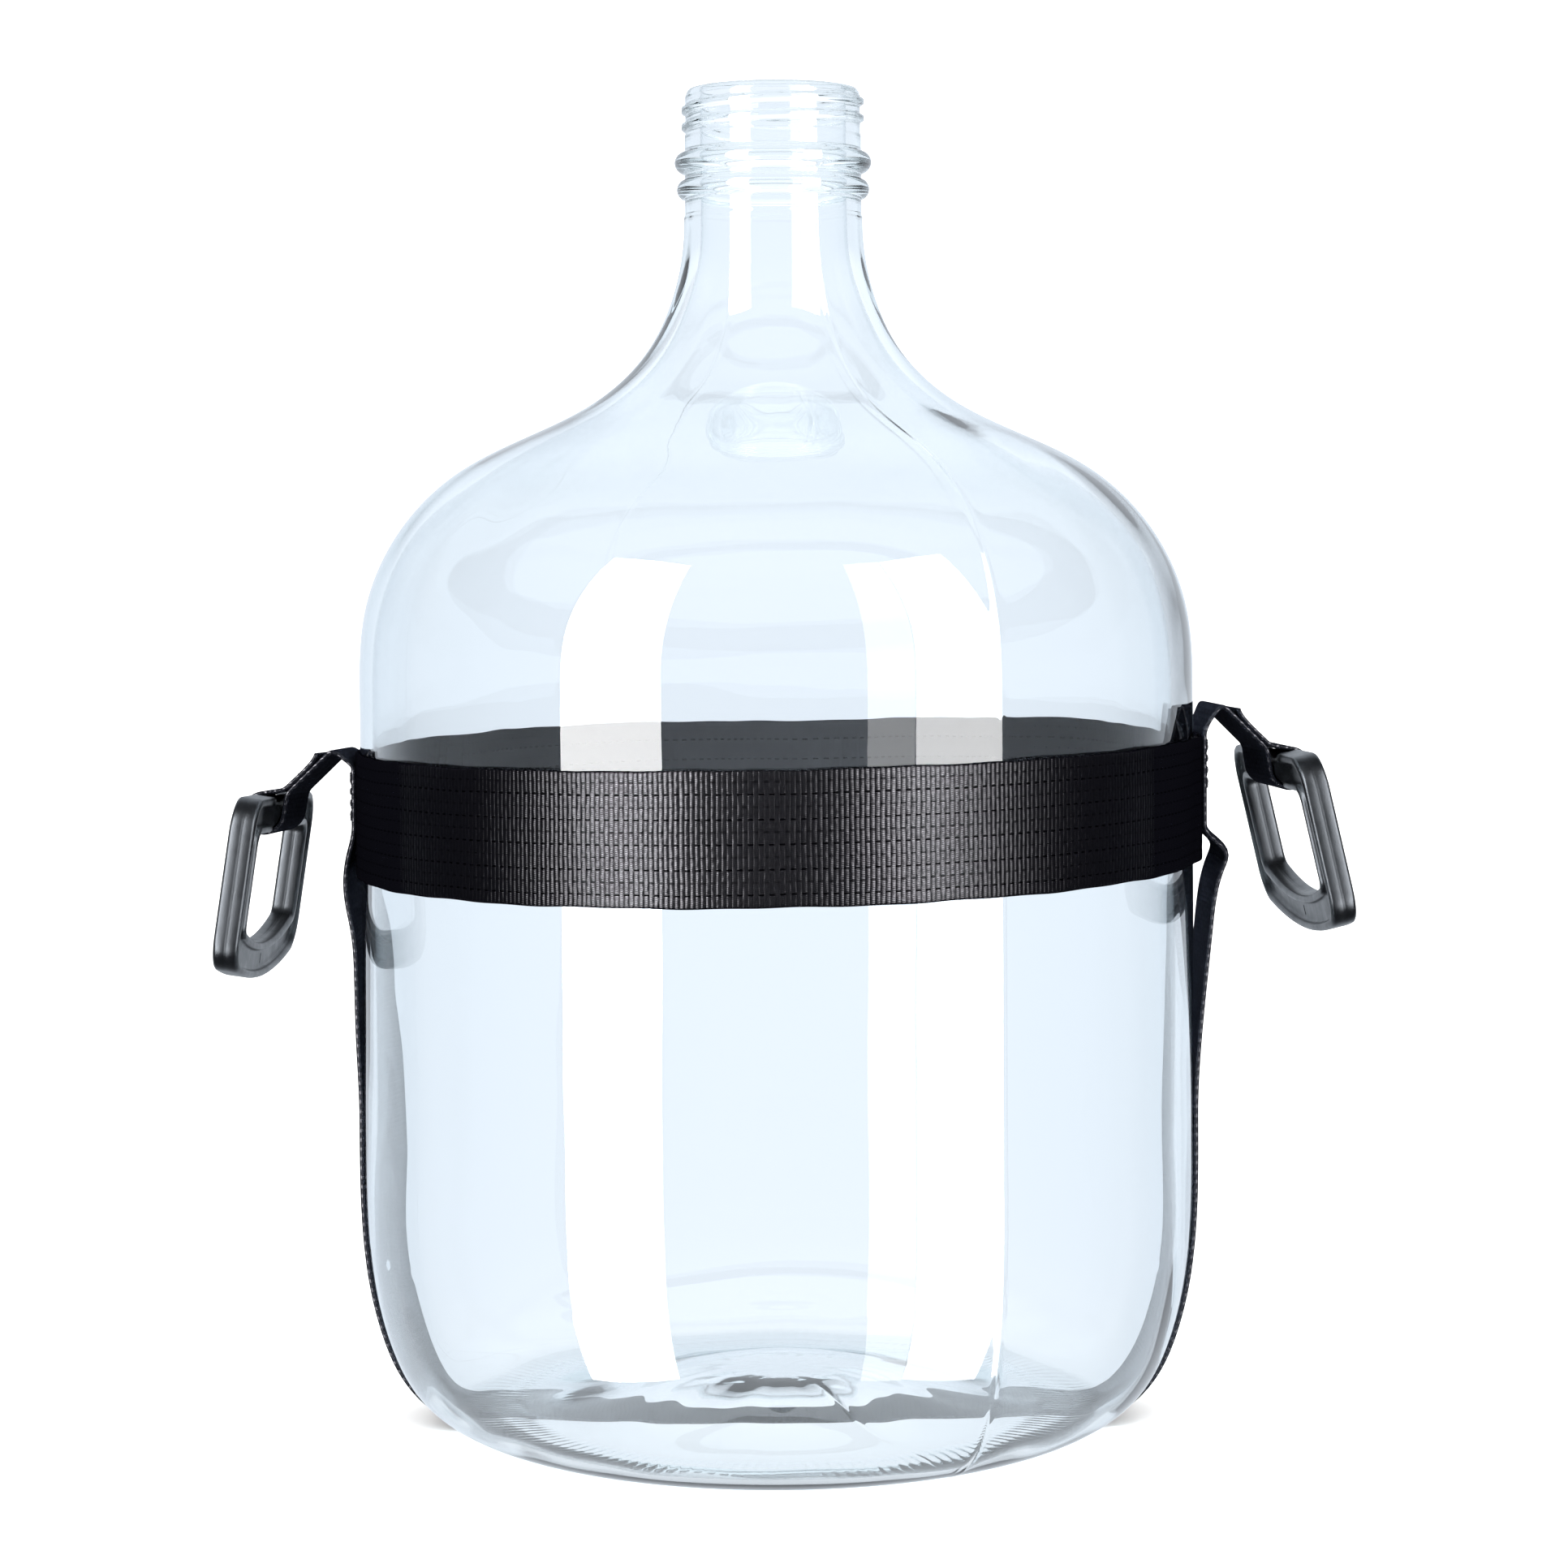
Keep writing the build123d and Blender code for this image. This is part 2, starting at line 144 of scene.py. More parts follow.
class Nodes:
    """Short-hand for building the node tree of a material or a world."""

    def __init__(self, owner):
        self.owner = owner
        owner.use_nodes = True
        self.tree = owner.node_tree
        self.tree.nodes.clear()

    def add(self, kind):
        return self.tree.nodes.new(kind)

    def link(self, out, into):
        self.tree.links.new(out, into)

    def math(self, operation, first, second=None, third=None):
        node = self.add("ShaderNodeMath")
        node.operation = operation
        for place, value in enumerate((first, second, third)):
            if value is None:
                continue
            if isinstance(value, (int, float)):
                node.inputs[place].default_value = value
            else:
                self.link(value, node.inputs[place])
        return node.outputs[0]

    def ramp(self, value, stops, interpolation="LINEAR"):
        node = self.add("ShaderNodeValToRGB")
        node.color_ramp.interpolation = interpolation
        elements = node.color_ramp.elements
        while len(elements) < len(stops):
            elements.new(0.5)
        for element, (place, colour) in zip(elements, stops):
            element.position = place
            element.color = (*colour, 1)
        self.link(value, node.inputs[0])
        return node.outputs[0]

    def mix(self, share, first, second):
        node = self.add("ShaderNodeMixRGB")
        for socket, value in zip(node.inputs, (share, first, second)):
            self.link(value, socket)
        return node.outputs[0]

    def noise(self, vector, scale, detail):
        node = self.add("ShaderNodeTexNoise")
        node.inputs["Scale"].default_value = scale
        node.inputs["Detail"].default_value = detail
        self.link(vector, node.inputs["Vector"])
        return node.outputs["Fac"]

    def bump(self, shader, height, strength, distance):
        node = self.add("ShaderNodeBump")
        node.inputs["Strength"].default_value = strength
        node.inputs["Distance"].default_value = distance
        self.link(height, node.inputs["Height"])
        self.link(node.outputs[0], shader.inputs["Normal"])


# ------------------------------------------------------------------ materials
# Painted shade in the glass's colour, from where it is seen squarely to where it is seen edge on, where
# it is darkest.
EDGE_SHADE_TINTS = [(0.0, (0.99, 0.996, 0.998)), (0.5, (0.97, 0.98, 0.985)), (0.7, (0.86, 0.89, 0.91)),
              (0.84, (0.5, 0.56, 0.6)), (1.0, (0.22, 0.27, 0.31))]


def glass_material():
    """Clear glass, pale blue-green where it is thick, with painted shade that darkens its colour to
    blue-grey where it is seen edge on.  It lets most light through into its shadow."""
    n = Nodes(bpy.data.materials.new("clear_glass"))
    out = n.add("ShaderNodeOutputMaterial")
    shader = n.add("ShaderNodeBsdfPrincipled")
    view = n.add("ShaderNodeLayerWeight")
    view.inputs["Blend"].default_value = 0.5
    shader.inputs["Base Color"].default_value = (*EDGE_SHADE_TINTS[0][1], 1)
    # Painted shade: the colour darkens towards the edges that are seen edge on.
    n.link(n.ramp(view.outputs["Facing"], EDGE_SHADE_TINTS), shader.inputs["Base Color"])
    shader.inputs["Transmission Weight"].default_value = 1.0
    shader.inputs["IOR"].default_value = 1.52
    coords = n.add("ShaderNodeTexCoord").outputs["Object"]
    haze = n.noise(coords, 35, 4)
    n.link(n.math("MULTIPLY_ADD", haze, 0.02, -0.005), shader.inputs["Roughness"])
    n.bump(shader, n.noise(coords, 22, 1), 0.25, 0.0008)
    clear = n.add("ShaderNodeBsdfTransparent")
    clear.inputs[0].default_value = (0.93, 0.955, 0.965, 1)
    path = n.add("ShaderNodeLightPath")
    mix = n.add("ShaderNodeMixShader")
    n.link(path.outputs["Is Shadow Ray"], mix.inputs[0])
    n.link(shader.outputs[0], mix.inputs[1])
    n.link(clear.outputs[0], mix.inputs[2])
    n.link(mix.outputs[0], out.inputs["Surface"])
    tint = n.add("ShaderNodeVolumeAbsorption")
    tint.inputs["Color"].default_value = (0.70, 0.88, 0.90, 1)
    tint.inputs["Density"].default_value = 9.0
    n.link(tint.outputs[0], out.inputs["Volume"])
    return n.owner


RIB_PITCH = 1.53        # from one rib of the weave to the next, along the webbing
YARN_PITCH = 0.63       # from yarn to yarn, across it
BINDER_PITCH = 7.28     # from one dashed binder row to the next
BINDER_MIDDLE = -1.5    # the row nearest to the webbing's middle line
UV_SHIFT = 60.0         # added across the webbing in the UV map, so that it stays positive
BINDER_REACH = 18.0     # the rows stop this far from the middle line
DASH_HALF, FAINT_HALF = 0.034, 0.03    # half a dash's width, as a share of the row pitch
SHEEN_LEVEL = 0.66      # scales the specular level of the yarns
SHEEN_FALL, SHEEN_END = 3.6, 0.05      # how fast it falls where the webbing turns away, and its end


def hump(n, part, power):
    """1 in the middle of a cell, 0 at its edges; a high power is flat-topped."""
    away = n.math("MULTIPLY", n.math("ABSOLUTE", part), 2.0)
    return n.math("SUBTRACT", 1.0, n.math("POWER", away, power))


def webbing_material(name, colour):
    """Ribbed polyester webbing: rows of short shining floats, and dashed binder rows.  Its colour holds
    painted shade, darker in the gaps between ribs and yarns.  The UV map holds metres along and across."""
    n = Nodes(bpy.data.materials.new(name))
    out = n.add("ShaderNodeOutputMaterial")
    shader = n.add("ShaderNodeBsdfPrincipled")
    uv = n.add("ShaderNodeUVMap")
    uv.uv_map = "UVMap"
    split = n.add("ShaderNodeSeparateXYZ")
    n.link(uv.outputs[0], split.inputs[0])
    along = n.math("DIVIDE", split.outputs[0], MM)
    across = n.math("DIVIDE", split.outputs[1], MM)
    wobble = n.noise(uv.outputs[0], 60, 2)
    along = n.math("MULTIPLY_ADD", wobble, 0.7, along)
    column = n.math("DIVIDE", along, RIB_PITCH)
    column_cell = n.math("FLOOR", column)
    column_part = n.math("SUBTRACT", n.math("FRACT", column), 0.5)
    odd = n.math("MODULO", n.math("ABSOLUTE", column_cell), 2.0)
    yarn = n.math("MULTIPLY_ADD", odd, 0.5, n.math("DIVIDE", across, YARN_PITCH))
    yarn_part = n.math("SUBTRACT", n.math("FRACT", yarn), 0.5)
    rib = hump(n, column_part, 2.0)
    thread = hump(n, yarn_part, 1.8)
    lump = n.math("MULTIPLY", rib, thread)
    row = n.math("DIVIDE", n.math("SUBTRACT", across, UV_SHIFT + BINDER_MIDDLE), BINDER_PITCH)
    from_middle = n.math("ABSOLUTE", n.math("SUBTRACT", across, UV_SHIFT))
    inside = n.math("LESS_THAN", from_middle, BINDER_REACH)
    dash = n.math("MULTIPLY", n.math("MULTIPLY", in_row(n, row, 0.0, DASH_HALF), odd), inside)
    even = n.math("SUBTRACT", 1.0, odd)
    faint = n.math("MULTIPLY", n.math("MULTIPLY", in_row(n, row, 0.5, FAINT_HALF), even), inside)
    tilt = n.noise(uv.outputs[0], 620, 0)
    height = n.math("MULTIPLY_ADD", dash, -0.9, lump)
    height = n.math("MULTIPLY_ADD", faint, -0.6, height)
    n.bump(shader, n.math("ADD", tilt, height), 1.0, 0.0001)
    patch = n.noise(uv.outputs[0], 18, 3)
    strand = n.noise(uv.outputs[0], 900, 2)
    shine = n.math("MULTIPLY_ADD", lump, 0.8, 0.38)
    shine = n.math("MULTIPLY", shine, n.math("MULTIPLY_ADD", patch, 0.5, 0.7))
    shine = n.math("MULTIPLY", shine, n.math("MULTIPLY_ADD", strand, 1.5, 0.22))
    shine = n.math("MULTIPLY", shine, n.math("MULTIPLY_ADD", dash, -0.97, 1.0))
    shine = n.math("MULTIPLY", shine, n.math("MULTIPLY_ADD", faint, -0.8, 1.0))
    # Painted shade: the colour falls to a quarter of itself where the shine is low, in the gaps between
    # ribs and yarns and at the binder dashes.
    painted_gap_shade = tuple(0.25 * part for part in colour)
    n.link(n.ramp(shine, [(0.0, painted_gap_shade), (0.5, colour), (1.0, colour)]), shader.inputs["Base Color"])
    n.link(n.math("MULTIPLY_ADD", shine, -0.05, 0.24), shader.inputs["Roughness"])
    shader.inputs["Specular Tint"].default_value = (0.95, 0.93, 1.0, 1)
    grazing = n.add("ShaderNodeLayerWeight")
    grazing.inputs["Blend"].default_value = 0.5
    facing = n.math("POWER", n.math("SUBTRACT", 1.0, grazing.outputs["Facing"]), SHEEN_FALL)
    facing = n.math("MAXIMUM", n.math("SUBTRACT", facing, SHEEN_END), 0.0)
    level = n.math("MULTIPLY", n.math("MULTIPLY", shine, SHEEN_LEVEL), facing)
    shader.inputs["Specular IOR Level"].default_value = 0.15
    n.link(level, shader.inputs["Specular IOR Level"])
    n.link(shader.outputs[0], out.inputs["Surface"])
    return n.owner


def in_row(n, row, shift, half):
    """1 near the whole numbers of row, moved by shift, and 0 elsewhere."""
    part = n.math("FRACT", n.math("ADD", row, 0.5 + shift))
    return n.math("LESS_THAN", n.math("ABSOLUTE", n.math("SUBTRACT", part, 0.5)), half)


def plastic_material():
    """Black moulded plastic: satin, with cloudy flow marks in its gloss."""
    n = Nodes(bpy.data.materials.new("handle_plastic"))
    out = n.add("ShaderNodeOutputMaterial")
    shader = n.add("ShaderNodeBsdfPrincipled")
    coords = n.add("ShaderNodeTexCoord").outputs["Object"]
    cloud = n.noise(coords, 90, 4)
    blotch = n.noise(coords, 260, 3)
    grain = n.noise(coords, 1800, 2)
    n.link(n.ramp(cloud, [(0.3, (0.0012, 0.0014, 0.0022)), (0.75, (0.003, 0.0034, 0.005))]),
           shader.inputs["Base Color"])
    rough = n.math("MULTIPLY_ADD", cloud, 0.20, 0.20)
    n.link(n.math("MULTIPLY_ADD", blotch, 0.16, rough), shader.inputs["Roughness"])
    shader.inputs["Specular IOR Level"].default_value = 0.8
    shader.inputs["Specular Tint"].default_value = (0.86, 0.92, 1.0, 1)
    n.bump(shader, n.math("MULTIPLY_ADD", blotch, 1.5, grain), 0.35, 0.00006)
    n.link(shader.outputs[0], out.inputs["Surface"])
    return n.owner


def thread_material():
    """Black sewing thread with the bands of its twist, and painted light and shade on them."""
    n = Nodes(bpy.data.materials.new("sewing_thread"))
    out = n.add("ShaderNodeOutputMaterial")
    shader = n.add("ShaderNodeBsdfPrincipled")
    coords = n.add("ShaderNodeTexCoord").outputs["Object"]
    twist = n.add("ShaderNodeTexWave")
    twist.bands_direction = "DIAGONAL"
    twist.inputs["Scale"].default_value = 900
    n.link(coords, twist.inputs["Vector"])
    # Painted light and shade: the colour is lighter on the twist's ridges and darker in its grooves.
    n.link(n.ramp(twist.outputs["Fac"], [(0.2, (0.006, 0.006, 0.008)), (0.9, (0.05, 0.05, 0.056))]),
           shader.inputs["Base Color"])
    n.link(n.math("MULTIPLY_ADD", twist.outputs["Fac"], -0.2, 0.55), shader.inputs["Roughness"])
    n.bump(shader, twist.outputs["Fac"], 0.6, 0.0001)
    n.link(shader.outputs[0], out.inputs["Surface"])
    return n.owner


GLASS = glass_material()
WEBBING = webbing_material("webbing", (0.0018, 0.0018, 0.0028))
# The sling and its tabs: the same webbing with its colour painted about four times lighter, as painted
# light.
STRAP_WEBBING_PAINTED_LIGHTER = webbing_material("webbing_strap_painted_lighter", (0.0075, 0.0084, 0.0122))
PLASTIC = plastic_material()
THREAD = thread_material()


# --------------------------------------------------------------------- bottle
# Outlines are (radius, height above the underside of the glass).
HEEL = [(BEARING_R, 0), (108.5, 4), (119, 12), (127.6, 28), (133.4, 54), (BODY_R, BODY_LOW)]
SHOULDER = [(BODY_R, BODY_TOP), (133, 264), (122.8, 288), (103.2, 308), (80, 320),
            (56.8, 332), (40.7, 348), (33.1, 364), (NECK_R, 389)]
INNER_SHOULDER = [(BORE_R, 385), (28.4, 362.5), (36.8, 345.2), (54, 328), (78, 315.6),
                  (100.2, 304), (118.8, 285.2), (128.3, 262), (BODY_R - WALL, BODY_TOP)]
INNER_HEEL = [(BODY_R - WALL, BODY_LOW), (129.9, 54), (125.6, 31.5), (117.6, 14.6), (101, 5.2)]
INNER_FLOOR = [(101, 5.2), (47, 10.8), (20, 16.4)]
PUSH_UP = [(20, 12), (47, 7), (86, 0)]
RIM = [(28.2, 430), (28.0, 430.8), (27.6, 431.4), (27.1, 431.85), (26.4, BOTTLE_H), (25.5, BOTTLE_H),
       (24.7, BOTTLE_H), (24.1, 431.8), (23.7, 431.4), (BORE_R, 430.8)]
NECK_FROM, THREAD_FROM, RIM_FROM = 389.6, 417.0, 429.9
BEADED_R = 28.65                      # the neck between its foot and its thread
LOW_BEAD = (399.5, 2.6, 3.2)          # height, how far it stands out, half its height
TOP_BEAD = (408.2, 3.3, 3.5)
THREAD_ROOT_R, THREAD_RISE = 28.4, 1.25
THREAD_PITCH, THREAD_TURNS = 5.4, 1.9
THREAD_START, THREAD_START_ANGLE = 418.6, 107.0
THREAD_HALF, THREAD_RUN_OUT = 1.55, 0.14   # half its height; how many turns each end fades over
RING_MARKS, MARK_DEPTH = 160, 0.13    # fine radial marks on the ring it stands on
MARKED = (82, 108)                    # the radii between which they lie
SEAM_RISE, SEAM_HALF = 0.3, 0.36      # millimetres, and degrees on the body
SEAM_STEPS = (-0.9, -0.55, -0.25, 0, 0.25, 0.55, 0.9)
INSIDE_WAVE, OUTSIDE_WAVE, FLOOR_WAVE = 0.55, 0.10, 0.3
WAVES = [(2, 0.011, 0.5), (3, -0.017, 0.4), (5, 0.023, 0.3), (8, -0.006, 0.28), (13, 0.009, 0.2),
         (21, 0.004, 0.12)]           # waves in a turn, slope with height, size


def heel_curve(step):
    return smooth_curve(HEEL, (1, 0.12), (0, 1), step)


def neck_profile():
    """Plain neck with its two beads, up to the rim."""
    heights = np.concatenate([np.arange(NECK_FROM, THREAD_FROM, 0.55),
                              np.arange(THREAD_FROM, RIM_FROM, 0.36)])
    radius = np.full(len(heights), BEADED_R)
    radius[heights < NECK_FROM + 1.4] = NECK_R
    radius[heights > THREAD_FROM] = THREAD_ROOT_R
    for centre, rise, half in (LOW_BEAD, TOP_BEAD):
        part = np.clip(np.abs(heights - centre) / half, 0, 1)
        radius += rise * np.sqrt(1 - part**2) ** 1.1
    return np.stack([radius, heights], 1)


def bottle_profile():
    """(radius, height) from the middle of the underside, over the rim, to the
    middle of the floor inside, with the index where the inside begins."""
    low = joined(straight((0, PUSH_UP[0][1]), PUSH_UP[0], 4),
                 smooth_curve(PUSH_UP, (1, 0), (1, 0), 2.5))
    ring = straight(PUSH_UP[-1], (BEARING_R, 0), 1.2)
    body = straight((BODY_R, BODY_LOW), (BODY_R, BODY_TOP), 7)
    shoulder = smooth_curve(SHOULDER, (0, 1), (0, 1), 2.6)
    outside = joined(low, ring, heel_curve(1.6), body, shoulder, neck_profile(), np.array(RIM))
    inside = joined(straight((BORE_R, RIM[0][1]), INNER_SHOULDER[0], 3.5),
                    smooth_curve(INNER_SHOULDER, (0, -1), (0, -1), 4),
                    straight((BODY_R - WALL, BODY_TOP), (BODY_R - WALL, BODY_LOW), 8),
                    smooth_curve(INNER_HEEL, (0, -1), (-1, 0), 3),
                    smooth_curve(INNER_FLOOR, (-1, 0), (-1, 0), 5),
                    straight(INNER_FLOOR[-1], (0, INNER_FLOOR[-1][1]), 5))
    return np.concatenate([outside, inside]), len(outside)


def smooth_step(x):
    x = np.clip(x, 0, 1)
    return x * x * (3 - 2 * x)


def thread_rise(angle, height):
    """How far the screw thread stands out at these angles and one height."""
    rise = np.zeros_like(angle)
    for turn in range(-1, 4):
        along = ((angle - radians(THREAD_START_ANGLE)) % (2 * pi)) / (2 * pi) + turn
        centre = THREAD_START + along * THREAD_PITCH
        fade = smooth_step(along / THREAD_RUN_OUT) * smooth_step((THREAD_TURNS - along) / THREAD_RUN_OUT)
        part = np.clip(np.abs(height - centre) / THREAD_HALF, 0, 1)
        shape = THREAD_RISE * smooth_step((1 - part) * 1.7)
        on_thread = (along >= 0) & (along <= THREAD_TURNS)
        rise = np.maximum(rise, np.where(on_thread, shape * fade, 0))
    return rise


def wave(angle, height, seed):
    """Slow unevenness of blown glass, between about -1 and 1."""
    total = np.zeros_like(angle)
    for k, (turns, slope, size) in enumerate(WAVES):
        total += size * np.sin(turns * angle + slope * height + seed * 1.7 * (k + 1))
    return total


def bottle_angles():
    """Even steps round the bottle, with finer ones across each mould seam."""
    even = np.linspace(-180, 180, 320, endpoint=False)
    extra = [seam + step for seam in SEAM_ANGLES for step in SEAM_STEPS]
    keep = [a for a in even if min(abs(a - s) for s in SEAM_ANGLES) > 1.2]
    return np.radians(np.sort(np.array(keep + extra)))


def seam_rise(angle, radius, height):
    """Fine raised line where the mould halves meet."""
    rise = np.zeros_like(angle)
    for seam in SEAM_ANGLES:
        away = np.degrees(np.abs(angle - radians(seam))) * max(radius, 20) / BODY_R
        rise = np.maximum(rise, SEAM_RISE * np.exp(-(away / SEAM_HALF) ** 2))
    below_beads = 1 < height < LOW_BEAD[0] - 3.5
    return rise * (1.0 if below_beads else 0.4)


def outside_ring(angle, radius, height):
    """Radii and heights of one ring of points on the outside of the glass."""
    r = np.full(len(angle), float(radius))
    z = np.full(len(angle), float(height))
    if height > THREAD_FROM:
        r += thread_rise(angle, height)
    if 0.5 < height < THREAD_FROM - 1:
        r += seam_rise(angle, radius, height)
    if 60 < height < 380:
        r += OUTSIDE_WAVE * wave(angle, height, 3.0) * smooth_step((380 - height) / 40)
    if is_marked(radius, height):
        share = smooth_step((radius - MARKED[0] - 1) / 5) * smooth_step((MARKED[1] - 2 - radius) / 8)
        z += MARK_DEPTH * share * (0.5 + 0.5 * np.cos(RING_MARKS * angle)) ** 3
    return r, z


def inside_ring(angle, radius, height):
    """The same inside, where blown glass is less even, but for the bore."""
    r = np.full(len(angle), float(radius))
    z = np.full(len(angle), float(height))
    share = 0.15 + 0.85 * smooth_step((410 - height) / 60)
    r += share * INSIDE_WAVE * wave(angle, height, 1.0) * (radius / BODY_R) ** 0.5
    if radius < 115 and height < 40:
        z += FLOOR_WAVE * wave(angle, radius * 2.0, 5.0) * smooth_step(radius / 60)
    return r, z


def is_marked(radius, height):
    return height < 7 and MARKED[0] < radius < MARKED[1]


def make_bottle():
    profile, inside_from = bottle_profile()
    coarse = bottle_angles()
    middles = (coarse + np.append(coarse[1:], coarse[0] + 2 * pi)) / 2
    fine = np.empty(len(coarse) * 2)
    fine[0::2], fine[1::2] = coarse, middles
    verts, rows = [], []
    for i, (radius, height) in enumerate(profile):
        if radius < 0.01:
            rows.append([len(verts)])
            verts.append((0, 0, height + BASE_Z))
            continue
        outside = i < inside_from
        angle = fine if outside and is_marked(radius, height) else coarse
        r, z = (outside_ring if outside else inside_ring)(angle, radius, height)
        rows.append(list(range(len(verts), len(verts) + len(angle))))
        verts.extend(zip(r * np.cos(angle), r * np.sin(angle), z + BASE_Z))
    faces = []
    for low, high in zip(rows[:-1], rows[1:]):
        faces.extend(bridge(low, high))
    bottle = object_from("carboy_glass", verts, faces, GLASS, "bottle")
    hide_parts("glass_bottle")


def bridge(low, high):
    """Faces between two rings of points that hold as many, half or twice as
    many points, or one point."""
    a, b = len(low), len(high)
    if a == 1:
        return [(low[0], high[(k + 1) % b], high[k]) for k in range(b)]
    if b == 1:
        return [(low[k], low[(k + 1) % a], high[0]) for k in range(a)]
    if a == b:
        return [(low[k], low[(k + 1) % a], high[(k + 1) % a], high[k]) for k in range(a)]
    faces = []
    if b == 2 * a:
        for k in range(a):
            p, q = low[k], low[(k + 1) % a]
            u, v, w = high[2 * k], high[2 * k + 1], high[(2 * k + 2) % b]
            faces += [(p, v, u), (p, q, v), (q, w, v)]
    else:
        for k in range(b):
            p, q = high[k], high[(k + 1) % b]
            u, v, w = low[2 * k], low[2 * k + 1], low[(2 * k + 2) % a]
            faces += [(u, v, p), (v, q, p), (v, w, q)]
    return faces


# -------------------------------------------------------------------- webbing
GROOVE_DEPTH, GROOVE_HALF = 0.09, 0.45     # the binder rows lie in shallow grooves


def web_section():
    """Outline of the webbing's cross-section as (across, up), going round."""
    half, t = WEB_W / 2, WEB_T / 2
    flat = np.linspace(-half + t, half - t, 45)
    from_row = ((flat - BINDER_MIDDLE) / BINDER_PITCH + 0.5) % 1 - 0.5
    groove = GROOVE_DEPTH * np.exp(-(from_row * BINDER_PITCH / GROOVE_HALF) ** 2)
    top = [(y, t - g) for y, g in zip(flat, groove)]
    right = [(half - t + t * sin(a), t * cos(a)) for a in np.radians([36, 72, 108, 144])]
    bottom = [(y, -t + g) for y, g in zip(flat[::-1], groove[::-1])]
    left = [(-half + t - t * sin(a), t * cos(a)) for a in np.radians([144, 108, 72, 36])]
    return np.array(top + right + bottom + left)


def web_mesh(name, place, count, lengths, body, material):
    """Webbing swept through count stations.  place(i, across, up) gives a
    point in millimetres; lengths holds the distance along at each station."""
    section = web_section()
    m = len(section)
    verts = [place(i, y, t) for i in range(count) for y, t in section]
    faces, uvs = [], []
    for i in range(count - 1):
        for k in range(m):
            j = (k + 1) % m
            faces.append((i * m + k, (i + 1) * m + k, (i + 1) * m + j, i * m + j))
            for station, place_in_section in ((i, k), (i + 1, k), (i + 1, j), (i, j)):
                across = section[place_in_section][0]
                uvs.append((lengths[station] * MM, (across + UV_SHIFT) * MM))
    for end, flip in ((0, False), (count - 1, True)):
        ring = [end * m + k for k in range(m)]
        faces.append(tuple(ring if not flip else ring[::-1]))
        order = section if not flip else section[::-1]
        uvs.extend([((lengths[end] + t) * MM, (y + UV_SHIFT) * MM) for y, t in order])
    return object_from(name, verts, faces, material, body, uvs)


BELT_STATIONS = 430
LAP_STEP_FROM, LAP_STEP = 355, 5           # degrees from the belt's start; it climbs onto itself here
EDGE_WAVES = ((0.14, 9.0), (0.1, 3.7))     # unevenness of the selvedges: size, length over 2 pi


def belt_radius(layers):
    """Outer radius of so many layers of webbing round the body."""
    return BODY_R + GLASS_GAP + layers * WEB_T + (layers - 1) * LAYER_GAP


def make_belt():
    """Belt round the body, starting under the right crossing and ending on top
    of its own start."""
    angles = np.radians(np.linspace(-LAP_HALF, 360 + LAP_HALF, BELT_STATIONS))
    turned = np.degrees(angles) + LAP_HALF
    lift = smooth_step((turned - LAP_STEP_FROM) / LAP_STEP) * (WEB_T + LAYER_GAP)
    radius = BODY_R + GLASS_GAP + WEB_T / 2 + lift
    lengths = np.concatenate([[0], np.cumsum(np.diff(angles) * (BODY_R + 1))])
    tilt = sin(radians(BELT_TILT))

    def place(i, across, up):
        r = radius[i] + up
        x = r * cos(angles[i])
        edge = sum(size * sin(lengths[i] / length) for size, length in EDGE_WAVES)
        return (x, r * sin(angles[i]), BELT_Z + x * tilt + across * (1 + edge / (WEB_W / 2)))

    belt = web_mesh("belt_webbing", place, BELT_STATIONS, lengths, "bottle", WEBBING)
    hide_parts("belt")


def turtle(point, heading, *steps):
    """Path of straight runs (length,) and arcs (radius, turn in degrees),
    sampled."""
    out = [np.array([point])]
    for step in steps:
        x, y = out[-1][-1]
        if len(step) == 1:
            end = (x + step[0] * cos(radians(heading)), y + step[0] * sin(radians(heading)))
            out.append(straight((x, y), end, PATH_STEP)[1:])
        else:
            radius, turn = step
            side = 1 if turn > 0 else -1
            centre = (x - side * radius * sin(radians(heading)),
                      y + side * radius * cos(radians(heading)))
            first = heading - side * 90
            count = max(int(abs(turn) / 9), 2)
            out.append(arc(centre, radius, first, first + turn, count)[1:])
            heading += turn
    return np.concatenate(out)


LOOP_R, TAB_REACH = 6.35, 28.0     # the loop round the bar, and its middle from the fold
LOOP_SPLAY, SPLAY_R = 36.0, 5.0    # how the two layers part before the loop
FOLD_START, TOP_LAYER_START = 0.6, 3.4    # from the fold: the tab's start, and its top layer's
TWIST_LENGTH = 9.0                 # of the webbing before the fold, which takes up the yaw and roll
PATH_STEP = 1.3                    # between the stations of a tab


def crossing_radius(side):
    """Middle of the sling's thickness where it lies flat on the belt."""
    return belt_radius(side["layers"]) + LAYER_GAP + WEB_T / 2


def hung(side, point, share=1.0):
    """Turn a point that was placed with the fold along Y by the side's yaw and
    roll, or by a share of them where the webbing twists into the fold."""
    sign = side["sign"]
    middle = Vector((sign * side["fold"][0], 0, side["fold"][1]))
    turn = Matrix.Rotation(radians(sign * side["yaw"] * share), 3, "Z")
    turn = turn @ Matrix.Rotation(radians(-side["roll"] * share), 3, "X")
    return middle + turn @ (Vector(point) - middle)


